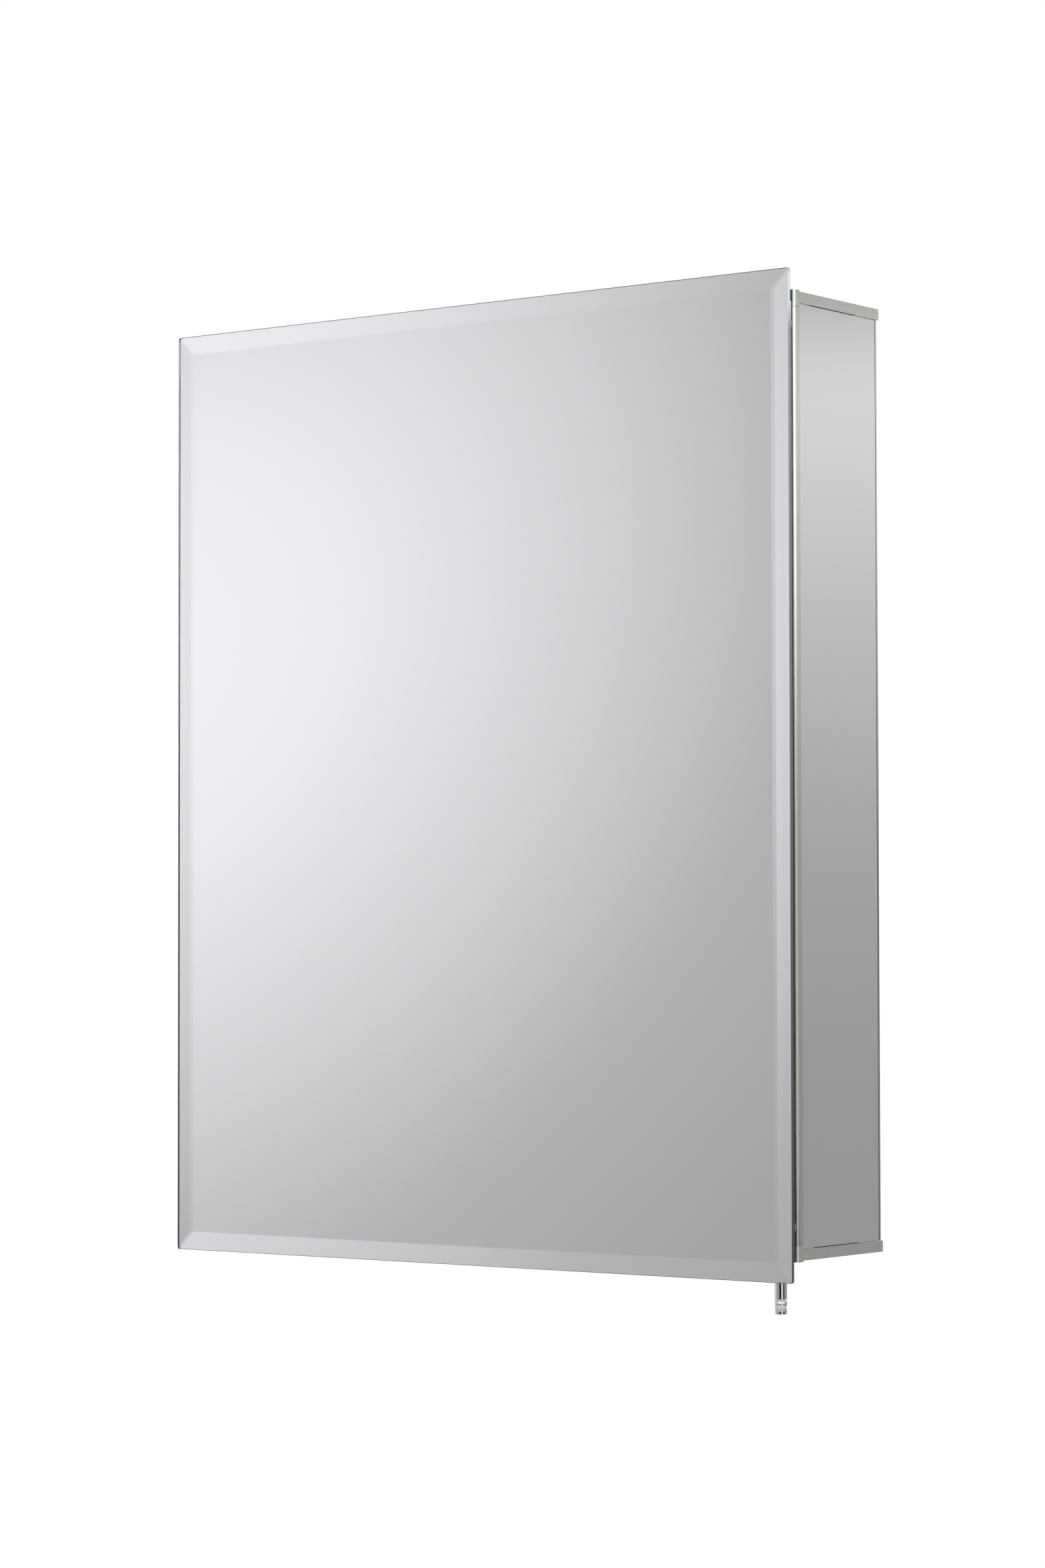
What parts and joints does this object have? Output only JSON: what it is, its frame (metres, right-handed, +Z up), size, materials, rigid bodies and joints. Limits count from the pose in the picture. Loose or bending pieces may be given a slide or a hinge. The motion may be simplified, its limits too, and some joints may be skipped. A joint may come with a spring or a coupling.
{
  "type": "medicine cabinet",
  "caption": "Wall-hung bathroom medicine cabinet: slim metal case with a bevelled mirror door on pivot pins, a hanging pull rod, adjustable glass shelves and a wall rail.",
  "frame": {"origin": "middle of the wall rail between its two screw slots, on the wall plane", "axes": "+X to the right of a person facing the cabinet, +Y into the wall, +Z up"},
  "size_m": [0.61, 0.133, 0.786],
  "materials": {
    "cap_metal": "die-cast end caps, bead-blasted and satin anodised",
    "post_metal": "extruded, bright-dipped and clear anodised",
    "side_metal": "rolled sheet, satin anodised",
    "track_metal": "extruded, satin anodised",
    "mill_metal": "extruded, mill finish",
    "frame_metal": "extruded bar, satin anodised",
    "back_paint": "sheet, pale grey powder coat",
    "door_mirror": "bevelled float glass, silvered behind",
    "mirror": "flat float glass, silvered behind",
    "shelf_glass": "clear tempered glass with polished edges",
    "clip_plastic": "moulded clear polycarbonate",
    "nylon": "natural nylon",
    "catch_plastic": "moulded light grey ABS",
    "ferrite": "sintered ferrite magnet",
    "zinc_steel": "pressed steel, bright zinc plate",
    "fixings": "bright zinc-plated steel",
    "core_board": "dense fibreboard",
    "bumper_rubber": "translucent silicone",
    "rod_chrome": "turned brass rod, bright chrome plate"
  },
  "bodies": {
    "case": {"back_mirror": "mirror", "back_panel": "back_paint", "back_panel_rivets": "fixings", "bottom_cap": "cap_metal", "bottom_cap_screws": "fixings", "catch_screws": "fixings", "front_post_left": "post_metal", "front_post_right": "post_metal", "hanger_rail": "mill_metal", "lower_catch_housing": "catch_plastic", "lower_catch_magnet": "ferrite", "lower_pivot_bush": "nylon", "rail_rivets": "fixings", "rear_post_left": "post_metal", "rear_post_right": "post_metal", "shelf_track_front_left": "track_metal", "shelf_track_front_right": "track_metal", "shelf_track_rear_left": "track_metal", "shelf_track_rear_right": "track_metal", "side_sheet_left": "side_metal", "side_sheet_right": "side_metal", "spacer_rail": "mill_metal", "top_cap": "cap_metal", "top_cap_screws": "fixings", "track_screws": "fixings", "upper_catch_housing": "catch_plastic", "upper_catch_magnet": "ferrite", "upper_pivot_bush": "nylon", "wall_rail": "mill_metal"},
    "door": {"bracket_screws": "fixings", "door_bumpers": "bumper_rubber", "door_core": "core_board", "door_glass": "door_mirror", "door_rail_bottom": "frame_metal", "door_rail_top": "frame_metal", "door_stile_left": "frame_metal", "door_stile_right": "frame_metal", "handle_plate": "zinc_steel", "handle_plate_screws": "fixings", "handle_rod": "rod_chrome", "handle_screw": "fixings", "inner_mirror": "mirror", "lower_pivot_bracket": "zinc_steel", "lower_pivot_pin": "zinc_steel", "lower_strike": "zinc_steel", "upper_pivot_bracket": "zinc_steel", "upper_pivot_pin": "zinc_steel", "upper_strike": "zinc_steel"},
    "shelf_1": {"shelf_1": "shelf_glass", "shelf_1_clips": "clip_plastic"},
    "shelf_2": {"shelf_2": "shelf_glass", "shelf_2_clips": "clip_plastic"},
    "shelf_3": {"shelf_3": "shelf_glass", "shelf_3_clips": "clip_plastic"}
  },
  "joints": [
    {"name": "door_hinge", "type": "hinge", "parent": "case", "child": "door", "pos_m": [-0.2999, -0.117, -0.305], "axis": [0, 0, -1], "range_deg": [0, 110]},
    {"name": "shelf_1_slide", "type": "slide", "parent": "case", "child": "shelf_1", "axis": [0, 0, 1], "range_m": [-0.07, 0.07]},
    {"name": "shelf_2_slide", "type": "slide", "parent": "case", "child": "shelf_2", "axis": [0, 0, 1], "range_m": [-0.07, 0.07]},
    {"name": "shelf_3_slide", "type": "slide", "parent": "case", "child": "shelf_3", "axis": [0, 0, 1], "range_m": [-0.07, 0.07]}
  ]
}
